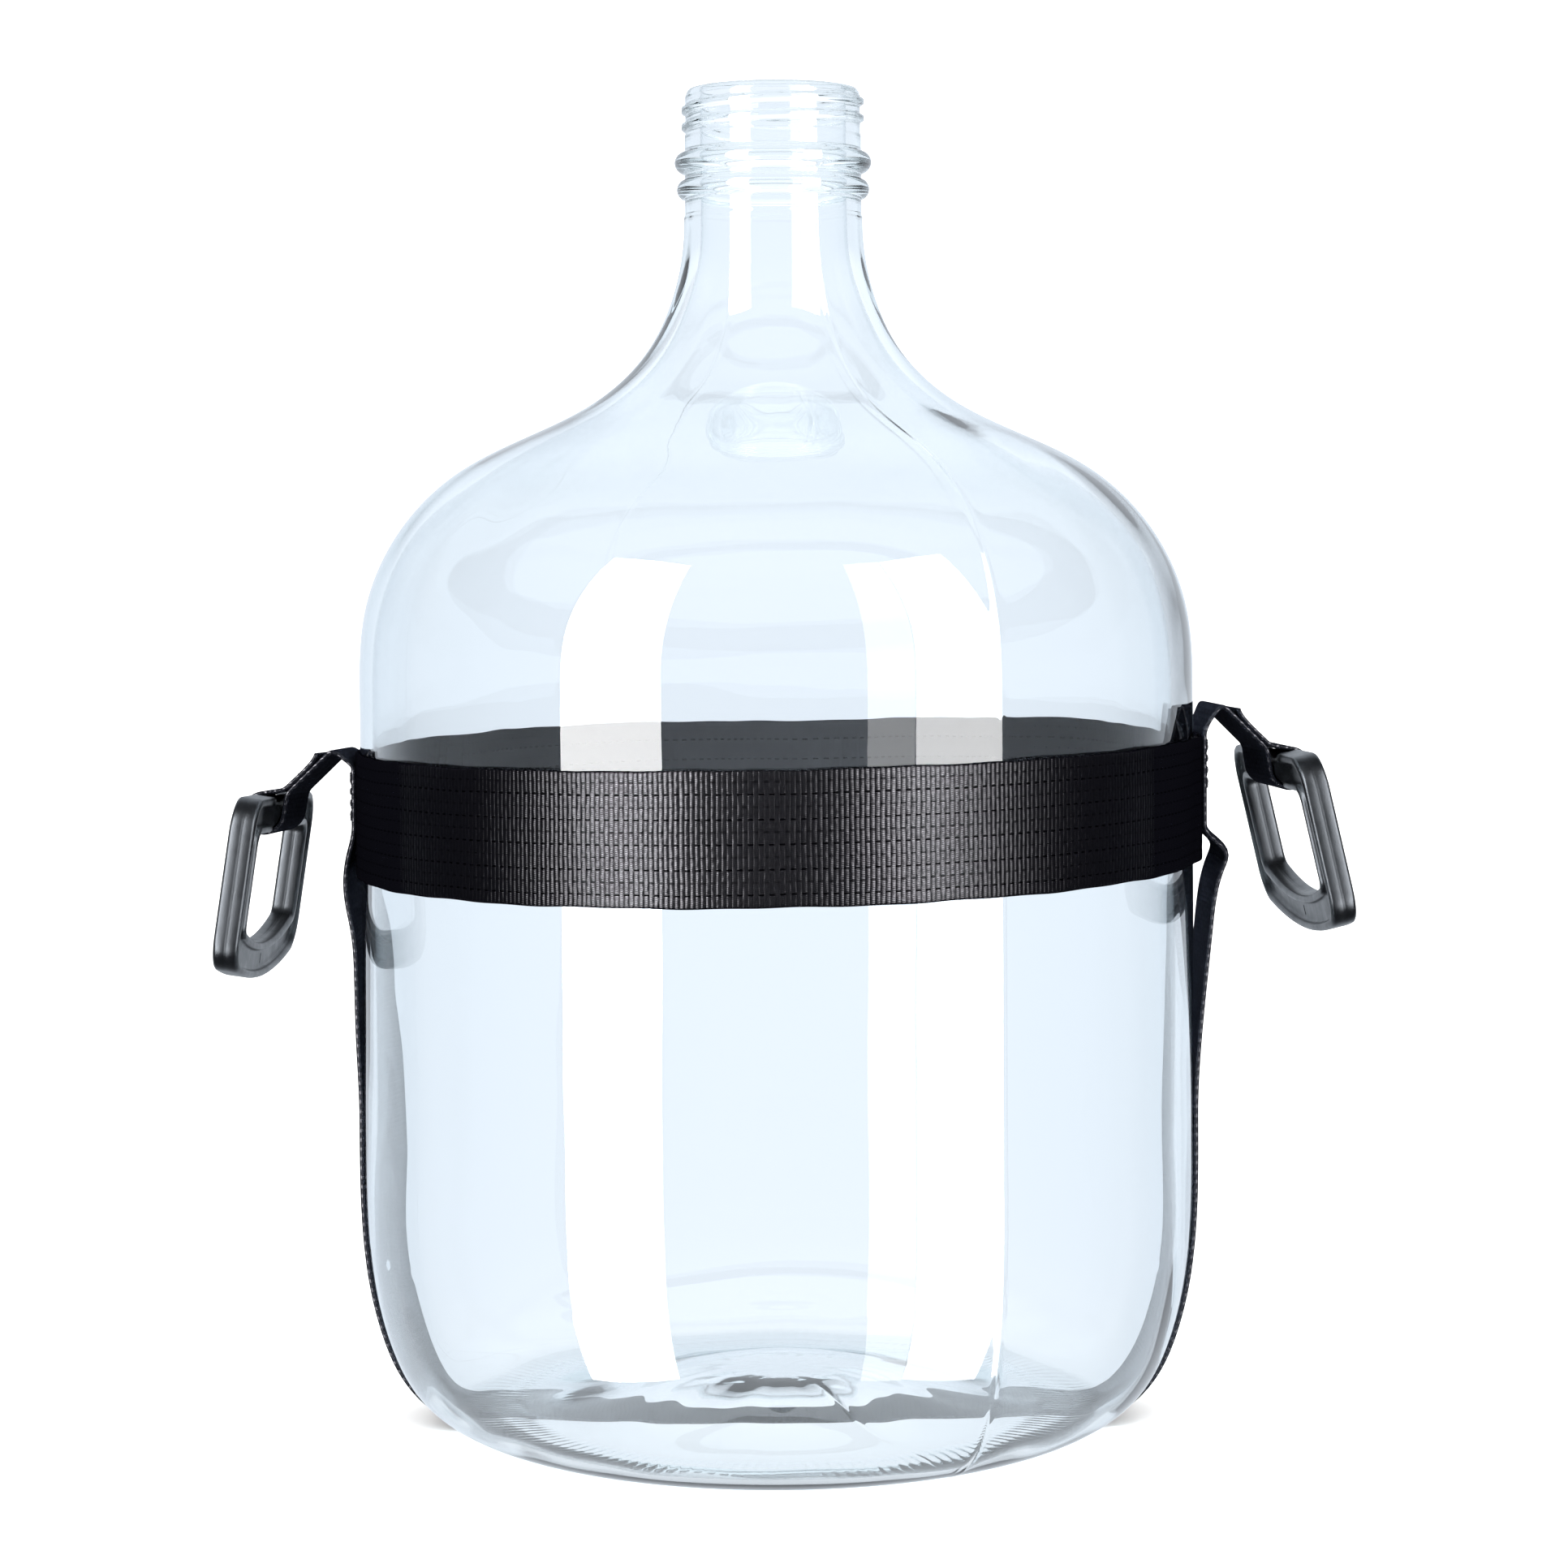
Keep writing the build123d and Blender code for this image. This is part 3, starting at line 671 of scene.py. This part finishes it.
def tab_line():
    """Centre line of a tab in its own plane, the fold at 0,0, the bar on +X."""
    mid = (WEB_T + LAYER_GAP) / 2
    across, along = sin(radians(LOOP_SPLAY)), cos(radians(LOOP_SPLAY))
    run = (LOOP_R * along - mid - SPLAY_R * (1 - along)) / across
    split = TAB_REACH - (SPLAY_R + LOOP_R) * across - run * along
    loop = turtle((0.0, 0.0), 0.0, (split,), (SPLAY_R, -LOOP_SPLAY), (run,),
                  (LOOP_R, 180 + 2 * LOOP_SPLAY), (run,), (SPLAY_R, -LOOP_SPLAY))
    top = smooth_curve([loop[-1], (TOP_LAYER_START + 4, 2 * mid), (TOP_LAYER_START - 0.8, 2 * mid + 1.1)],
                       (-1, 0), (-1, 0.55), PATH_STEP)
    return joined(loop, top)


def sling_line(side):
    """Centre line in (radius, height) of one half of the sling and its tab,
    from under the middle of the base to the end of the top layer, and how
    many of its points are the tab's."""
    off = GLASS_GAP + WEB_T / 2
    heel = heel_curve(1.0) + (0, BASE_Z)
    tangent = np.gradient(heel, axis=0)
    tangent /= np.linalg.norm(tangent, axis=1)[:, None]
    outside = heel + np.stack([tangent[:, 1], -tangent[:, 0]], 1) * off
    side_low = (BODY_R + off, BODY_LOW + BASE_Z)
    foot = (BEARING_R - 1, WEB_T / 2)
    around = smooth_curve([foot] + [tuple(p) for p in outside[8:-6:14]] + [side_low],
                          (1, 0), (0, 1), 1.5)
    landing = (crossing_radius(side), side["landing"])
    leaving = (crossing_radius(side), side["leaving"])
    slack = smooth_curve([side_low] + side["slack"] + [landing], (0, 1), (0, 1), 1.5)
    over = straight(landing, leaving, 1.5)
    slope = radians(side["tab_angle"])
    fold = np.array(side["fold"])
    direction = np.array([cos(slope), sin(slope)])
    bend = smooth_curve([leaving, tuple(fold - 0.5 * direction)], (0, 1), direction, 0.9)
    turn = np.array([[cos(slope), -sin(slope)], [sin(slope), cos(slope)]])
    tab = tab_line() @ turn.T + fold
    tab = tab[np.linalg.norm(tab - fold, axis=1) > FOLD_START]
    return joined(straight((0, WEB_T / 2), foot, 3), around, slack, over, bend, tab), len(tab)


def make_sling(name, side):
    """One half of the sling with its tab, bending at the fold."""
    line, in_tab = sling_line(side)
    step = np.linalg.norm(np.diff(line, axis=0), axis=1)
    lengths = np.concatenate([[0], np.cumsum(step)])
    tangent = np.gradient(line, axis=0)
    tangent /= np.linalg.norm(tangent, axis=1)[:, None]
    outward = np.stack([tangent[:, 1], -tangent[:, 0]], 1)
    fold_z = side["fold"][1]
    first_of_tab = len(line) - in_tab
    sign = side["sign"]
    clear = (fold_z - line[:, 1]) / (fold_z - side["leaving"])
    hug = smooth_step((line[:, 0] - 60) / 30) * smooth_step(clear)
    hug[first_of_tab:] = 0
    turned = smooth_step((lengths - lengths[first_of_tab]) / TWIST_LENGTH + 1)

    def place(i, across, up):
        r, z = line[i] + outward[i] * up
        sag = r - sqrt(max(r * r - across * across, 0)) if r > 50 else 0
        return hung(side, (sign * (r - sag * hug[i]), across, z), float(turned[i]))

    piece = web_mesh(f"sling_webbing_{name}", place, len(line), lengths, None, STRAP_WEBBING_PAINTED_LIGHTER)
    if sign < 0:
        piece.data.flip_normals()
    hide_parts("sling_strap", f"{name}_tab")
    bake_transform(piece)
    return float(lengths[-1])


# -------------------------------------------------------------------- handles
HANDLE_W, HANDLE_H, GRIP_BOW = 110.0, 52.8, 6.8     # the grip's middle bows down by GRIP_BOW
HANDLE_T, RING_W = 8.1, 11.4                        # thickness, and width of the ring's material
CORNER, INNER_CORNER, EDGE_ROUND = 11.0, 4.4, 1.2
RIM_W, CHANNEL_D = 2.2, 2.1
SLIT_L, SLIT_D, SLIT_HALF = 3.0, 1.1, 0.4           # moulded slit in the middle of the grip's channel
BAR_R, BAR_HALF = 5.2, (WEB_W + 1.6) / 2            # the round bar in the webbing's loop
CHANNEL_FROM, CHANNEL_RAMP = 27, 5                  # on the top, the channel starts beside the bar
TOP_HALF = [7, 15, 20.8, 22.5, 26, 31, 36, 44]
TOP_STEPS = [-u for u in TOP_HALF[::-1]] + [0] + TOP_HALF
SLIT_STEPS = [0.9, 0.42, 0.36, 0]


def ring_stations(inset, corner):
    """Points round the ring, clockwise from the top left, as (along the bar,
    height above its middle).  There are as many for every inset."""
    half, top = HANDLE_W / 2 - inset, RING_W / 2 - inset
    low = top - (HANDLE_H - 2 * inset)
    lowest = RING_W / 2 - HANDLE_H - GRIP_BOW + inset
    slope = degrees(2 * atan2(low - lowest, half))
    points = list(arc((-half + corner, top - corner), corner, 180, 90, 8))
    points += [(u, top) for u in TOP_STEPS if abs(u) < half - corner]
    points += list(arc((half - corner, top - corner), corner, 90, 0, 8))
    reach = corner * np.tan(radians((90 - slope) / 2))
    side_end, side_start = low + reach, top - corner
    points += [(half, z) for z in np.linspace(side_start, side_end, 7)[1:-1]]
    turned = arc((half - corner, side_end), corner, 0, -(90 - slope), 8)
    points += list(turned)
    grip_from = turned[-1]
    us = list(np.linspace(grip_from[0], 2.5, 14)[1:]) + SLIT_STEPS
    radius = (grip_from[0] ** 2 + (grip_from[1] - lowest) ** 2) / (2 * (grip_from[1] - lowest))
    grip = [(u, lowest + radius - sqrt(radius**2 - u * u)) for u in us]
    points += grip + [(-u, z) for u, z in grip[-2::-1]]
    points += [(-u, z) for u, z in turned[::-1]]
    points += [(-half, z) for z in np.linspace(side_end, side_start, 7)[1:-1]]
    return np.array(points)


def handle_section():
    """Outline round the I-section as (distance inwards, distance forward,
    depth share); depth share 1 marks the channel's floor."""
    t, w = HANDLE_T / 2, RING_W
    face = [(0, 0, 0), (0.05, 0.22, 0), (0, 0.5, 0), (0, t - EDGE_ROUND, 0)]
    corner = [(EDGE_ROUND - EDGE_ROUND * cos(a), t - EDGE_ROUND + EDGE_ROUND * sin(a), 0)
              for a in np.radians([30, 60, 90])]
    rim = [(RIM_W - 0.35, t, 0), (RIM_W, t - 0.12, 0.06), (RIM_W + 0.25, t, 0.5),
           (RIM_W + 0.5, t, 0.9), (RIM_W + 0.95, t, 1)]
    floor = [(w / 2 - SLIT_L / 2 - 0.1, t, 1), (w / 2 - SLIT_L / 2, t, 1), (w / 2, t, 1)]
    outer_half = face + corner + rim + floor
    inner_half = [(w - p, q, d) for p, q, d in outer_half[-2::-1]]
    upper = outer_half + inner_half
    lower = [(p, -q, d) for p, q, d in upper[-2:0:-1]]
    return upper + lower


def ring_points():
    """The handle's points as (along the bar, height above its middle,
    forward), and how many lie round the ring and round its section."""
    outer, inner = ring_stations(0, CORNER), ring_stations(RING_W, INNER_CORNER)
    section = handle_section()
    points = []
    for out, into in zip(outer, inner, strict=True):
        u = out[0]
        across_top = into[1] > -RING_W / 2 - 0.01 and abs(u) < TOP_STEPS[-1]
        on_top = out[1] > RING_W / 2 - 0.01 or across_top
        top_depth = float(smooth_step((abs(u) - CHANNEL_FROM) / CHANNEL_RAMP))
        depth = CHANNEL_D * (top_depth if on_top else 1)
        round_bar = on_top and abs(u) <= BAR_HALF + 0.1
        slit = not on_top and abs(u) < SLIT_HALF and out[1] < 0
        middle = (out[1] + into[1]) / 2
        for p, q, d in section:
            if round_bar:
                a = atan2(q, RING_W / 2 - p)
                points.append((u, BAR_R * cos(a) + middle, BAR_R * sin(a)))
                continue
            sink = depth * d
            if slit and abs(p - RING_W / 2) < SLIT_L / 2 + 0.01:
                sink += SLIT_D
            at = out + (into - out) * p / RING_W
            points.append((at[0], at[1], q - sink if q > 0 else q + sink))
    return points, len(outer), len(section)


def make_handle(name, side):
    points, n, m = ring_points()
    faces = []
    for i in range(n):
        for k in range(m):
            here, after = i * m, ((i + 1) % n) * m
            faces.append((here + k, here + (k + 1) % m, after + (k + 1) % m, after + k))
    slope, lean = radians(side["tab_angle"]), radians(side["lean"])
    mid = (WEB_T + LAYER_GAP) / 2
    bar_r = side["fold"][0] + TAB_REACH * cos(slope) - mid * sin(slope)
    bar_z = side["fold"][1] + TAB_REACH * sin(slope) + mid * cos(slope)
    sign = side["sign"]
    placed = []
    for u, v, q in points:
        x = q * cos(lean) - v * sin(lean)
        z = q * sin(lean) + v * cos(lean)
        placed.append(hung(side, (sign * (bar_r + x), u, bar_z + z)))
    handle = object_from(f"handle_{name}", placed, faces, PLASTIC, f"{name}_handle")
    if sign < 0:
        handle.data.flip_normals()
    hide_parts(f"{name}_handle")


# ------------------------------------------------------------------ stitching
STITCH, STITCH_STEP, STITCH_R = 2.5, 3.1, 0.32
STITCH_SIDES = 8
# Along a stitch: place as a share of its length, fatness, height above the webbing.
STITCH_RINGS = [(-0.5, 0.35, -0.15), (-0.38, 0.85, 0.12), (0, 1.0, 0.2), (0.38, 0.85, 0.12),
                (0.5, 0.35, -0.15)]
CROSSING_HALF_W, CROSSING_HALF_H, CROSSING_DROP = 14.5, 7.5, 9.5
TAB_ROWS, TAB_ROW_STEP, TAB_ROW_HALF = 3, 3.2, 16.5


def stitches(name, runs, body, node):
    """Short raised stitches along runs of (start, end, lift), where lift maps
    a flat point to its place and outward direction."""
    verts, faces = [], []
    for start, end, lift in runs:
        start, end = np.array(start, float), np.array(end, float)
        length = np.linalg.norm(end - start)
        count = max(int(length // STITCH_STEP), 1)
        along = (end - start) / length
        for k in range(count):
            centre = start + along * ((k + 0.5) * length / count)
            add_stitch(verts, faces, centre, along, lift)
    piece = object_from(name, verts, faces, THREAD, body)
    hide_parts(node)


def add_stitch(verts, faces, centre, along, lift):
    base, n = len(verts), STITCH_SIDES
    side = np.array([-along[1], along[0]])
    for share, fat, rise in STITCH_RINGS:
        for a in np.radians(range(0, 360, 360 // n)):
            flat = centre + along * (share * STITCH) + side * (STITCH_R * fat * cos(a))
            point, normal = lift(flat)
            verts.append(np.array(point) + np.array(normal) * (rise + STITCH_R * fat * sin(a)))
    rings = [base + i * n for i in range(len(STITCH_RINGS))]
    for here, after in zip(rings[:-1], rings[1:]):
        for k in range(n):
            j = (k + 1) % n
            faces.append((here + k, here + j, after + j, after + k))
    faces.append(tuple(rings[0] + k for k in range(n - 1, -1, -1)))
    faces.append(tuple(rings[-1] + k for k in range(n)))


def crossing_stitches(name, side):
    """A sewn box with its diagonals, where the sling crosses the belt."""
    face_r = crossing_radius(side) + WEB_T / 2
    sign = side["sign"]
    middle = side["leaving"] - CROSSING_DROP

    def lift(flat):
        y, v = flat
        x = sqrt(face_r**2 - y * y)
        return (sign * x, y, middle + v), (sign * x / face_r, y / face_r, 0)

    w, h = CROSSING_HALF_W, CROSSING_HALF_H
    corners = [(-w, -h), (w, -h), (w, h), (-w, h)]
    runs = [(corners[k], corners[(k + 1) % 4], lift) for k in range(4)]
    runs += [(corners[0], corners[2], lift), (corners[1], corners[3], lift)]
    stitches(f"crossing_stitches_{name}", runs, "bottle", f"{name}_crossing_stitch")


def tab_stitches(name, side):
    """Rows of stitching through the doubled webbing, between fold and loop."""
    slope = radians(side["tab_angle"])
    sign = side["sign"]
    face = 1.5 * WEB_T + LAYER_GAP
    fold_r, fold_z = side["fold"]

    def lift(flat):
        along, y = flat
        r = fold_r + along * cos(slope) - face * sin(slope)
        z = fold_z + along * sin(slope) + face * cos(slope)
        normal = Vector((-sign * sin(slope), 0, cos(slope)))
        point = Vector((sign * r, y, z))
        return hung(side, point), hung(side, point + normal) - hung(side, point)

    rows = []
    for k in range(TAB_ROWS):
        along = TOP_LAYER_START + 2.0 + k * TAB_ROW_STEP
        rows.append(((along, -TAB_ROW_HALF), (along, TAB_ROW_HALF), lift))
    stitches(f"tab_stitches_{name}", rows, f"{name}_tab", f"{name}_tab_stitch")


# ---------------------------------------------------------------------- stage
CLEAR_SKY = (0.92, 0.995, 1.09)      # seen through the glass at eye level
HIGH_SKY = (1.08, 1.15, 1.24)        # above it
TOP_SKY = (1.5, 1.6, 1.7)            # overhead
LOW_SKY = (0.92, 0.985, 1.05)        # below the horizon
SIDE_SKY = (0.03, 0.033, 0.04)       # what gloss sees beside the bottle
FRONT_SKY = (0.10, 0.11, 0.13)       # and in front of it
PLAIN_SKY = (2.4, 2.4, 2.4)          # lights everything else, and is the white background

FLOOR_HALF = 12.0                    # metres

# Softboxes stand on a circle round the bottle; azimuth 0 is the front.
SOFTBOX_DISTANCE, SOFTBOX_LOW, SOFTBOX_HIGH = 1.5, -1.0, 1.9      # metres
SOFTBOXES = [("softbox_left", -42.8, 0.74, 18), ("softbox_right", 47.6, 0.62, 13),
             ("softbox_right_edge", 29.4, 0.33, 4)]               # azimuth, width, radiance


def studio_world():
    """White surround.  Rays through the glass see it slightly blue all round
    and brighter overhead; gloss sees it dark in front and at the sides."""
    world = bpy.data.worlds.new("studio")
    bpy.context.scene.world = world
    world.cycles.sampling_method = "NONE"
    n = Nodes(world)
    out = n.add("ShaderNodeOutputWorld")
    split = n.add("ShaderNodeSeparateXYZ")
    n.link(n.add("ShaderNodeTexCoord").outputs["Generated"], split.inputs[0])
    depth = n.math("MULTIPLY_ADD", split.outputs[1], 0.5, 0.5)
    height = n.math("MULTIPLY_ADD", split.outputs[2], 0.5, 0.5)
    mirrored = n.ramp(depth, [(0.07, FRONT_SKY), (0.26, SIDE_SKY), (0.66, SIDE_SKY), (0.93, CLEAR_SKY)],
                      "EASE")
    through = n.ramp(height, [(0.0, LOW_SKY), (0.3, LOW_SKY), (0.46, CLEAR_SKY), (0.55, CLEAR_SKY),
                              (0.68, HIGH_SKY), (0.9, TOP_SKY)], "EASE")
    plain = n.add("ShaderNodeRGB").outputs[0]
    plain.default_value = (*PLAIN_SKY, 1)
    path = n.add("ShaderNodeLightPath")
    sky = n.mix(path.outputs["Is Glossy Ray"], plain, mirrored)
    sky = n.mix(path.outputs["Is Transmission Ray"], sky, through)
    background = n.add("ShaderNodeBackground")
    n.link(sky, background.inputs[0])
    n.link(background.outputs[0], out.inputs["Surface"])


def softbox(name, azimuth, width, radiance):
    """Tall upright area light facing the bottle.  Only gloss sees it."""
    tall = SOFTBOX_HIGH - SOFTBOX_LOW
    light = bpy.data.lights.new(name, "AREA")
    light.shape = "RECTANGLE"
    light.size, light.size_y = width, tall
    light.energy = radiance * pi * width * tall
    lamp = bpy.data.objects.new(name, light)
    a = radians(azimuth)
    middle = (SOFTBOX_LOW + SOFTBOX_HIGH) / 2
    lamp.location = (sin(a) * SOFTBOX_DISTANCE, -cos(a) * SOFTBOX_DISTANCE, middle)
    lamp.rotation_euler = (pi / 2, 0, a)
    lamp.visible_camera = False
    lamp.visible_transmission = False
    lamp.visible_diffuse = False
    bpy.context.scene.collection.objects.link(lamp)


def make_floor():
    """Pale matt floor, which glass and gloss don't see."""
    n = Nodes(bpy.data.materials.new("studio_floor"))
    out = n.add("ShaderNodeOutputMaterial")
    shader = n.add("ShaderNodeBsdfPrincipled")
    shader.inputs["Roughness"].default_value = 0.9
    shader.inputs["Specular IOR Level"].default_value = 0.1
    coords = n.add("ShaderNodeTexCoord").outputs["Object"]
    n.link(n.ramp(n.noise(coords, 3, 3), [(0, (0.93, 0.93, 0.93)), (1, (0.95, 0.95, 0.95))]),
           shader.inputs["Base Color"])
    n.link(shader.outputs[0], out.inputs["Surface"])
    mesh = bpy.data.meshes.new("studio_floor")
    far = FLOOR_HALF
    mesh.from_pydata([(-far, -far, 0), (far, -far, 0), (far, far, 0), (-far, far, 0)], [], [(0, 1, 2, 3)])
    mesh.materials.append(n.owner)
    floor = bpy.data.objects.new("studio_floor", mesh)
    bpy.context.scene.collection.objects.link(floor)
    floor.visible_glossy = False
    floor.visible_transmission = False


CAMERA_PLACE = (0.0026, -1.147, 0.2932)      # metres
CAMERA_PITCH, CAMERA_ROLL = 2.15, 0.36       # degrees down, degrees clockwise
CAMERA_LENS, CAMERA_SENSOR, CAMERA_SHIFT = 80.8, 36.0, -0.0828


def make_camera():
    data = bpy.data.cameras.new("photo_camera")
    data.lens = CAMERA_LENS
    data.sensor_width = CAMERA_SENSOR
    data.shift_y = CAMERA_SHIFT
    camera = bpy.data.objects.new("photo_camera", data)
    tilt = Matrix.Rotation(radians(90 - CAMERA_PITCH), 4, "X")
    roll = Matrix.Rotation(radians(-CAMERA_ROLL), 4, "Z")
    camera.matrix_world = Matrix.Translation(CAMERA_PLACE) @ tilt @ roll
    bpy.context.scene.collection.objects.link(camera)
    bpy.context.scene.camera = camera


def make_studio():
    studio_world()
    make_floor()
    for name, azimuth, width, radiance in SOFTBOXES:
        softbox(name, azimuth, width, radiance)
    make_camera()
    scene = bpy.context.scene
    scene.view_settings.view_transform = "Standard"
    scene.view_settings.look = "None"
    scene.cycles.max_bounces = 20
    scene.cycles.transmission_bounces = 16
    scene.cycles.glossy_bounces = 8


# ----------------------------------------------------------------------- main
make_bottle()
make_belt()
for side_name, numbers in SIDES.items():
    half_length = make_sling(side_name, numbers)
    print(f"sling half {side_name}: {half_length:.1f} mm")
    make_handle(side_name, numbers)
    crossing_stitches(side_name, numbers)
    tab_stitches(side_name, numbers)
make_studio()
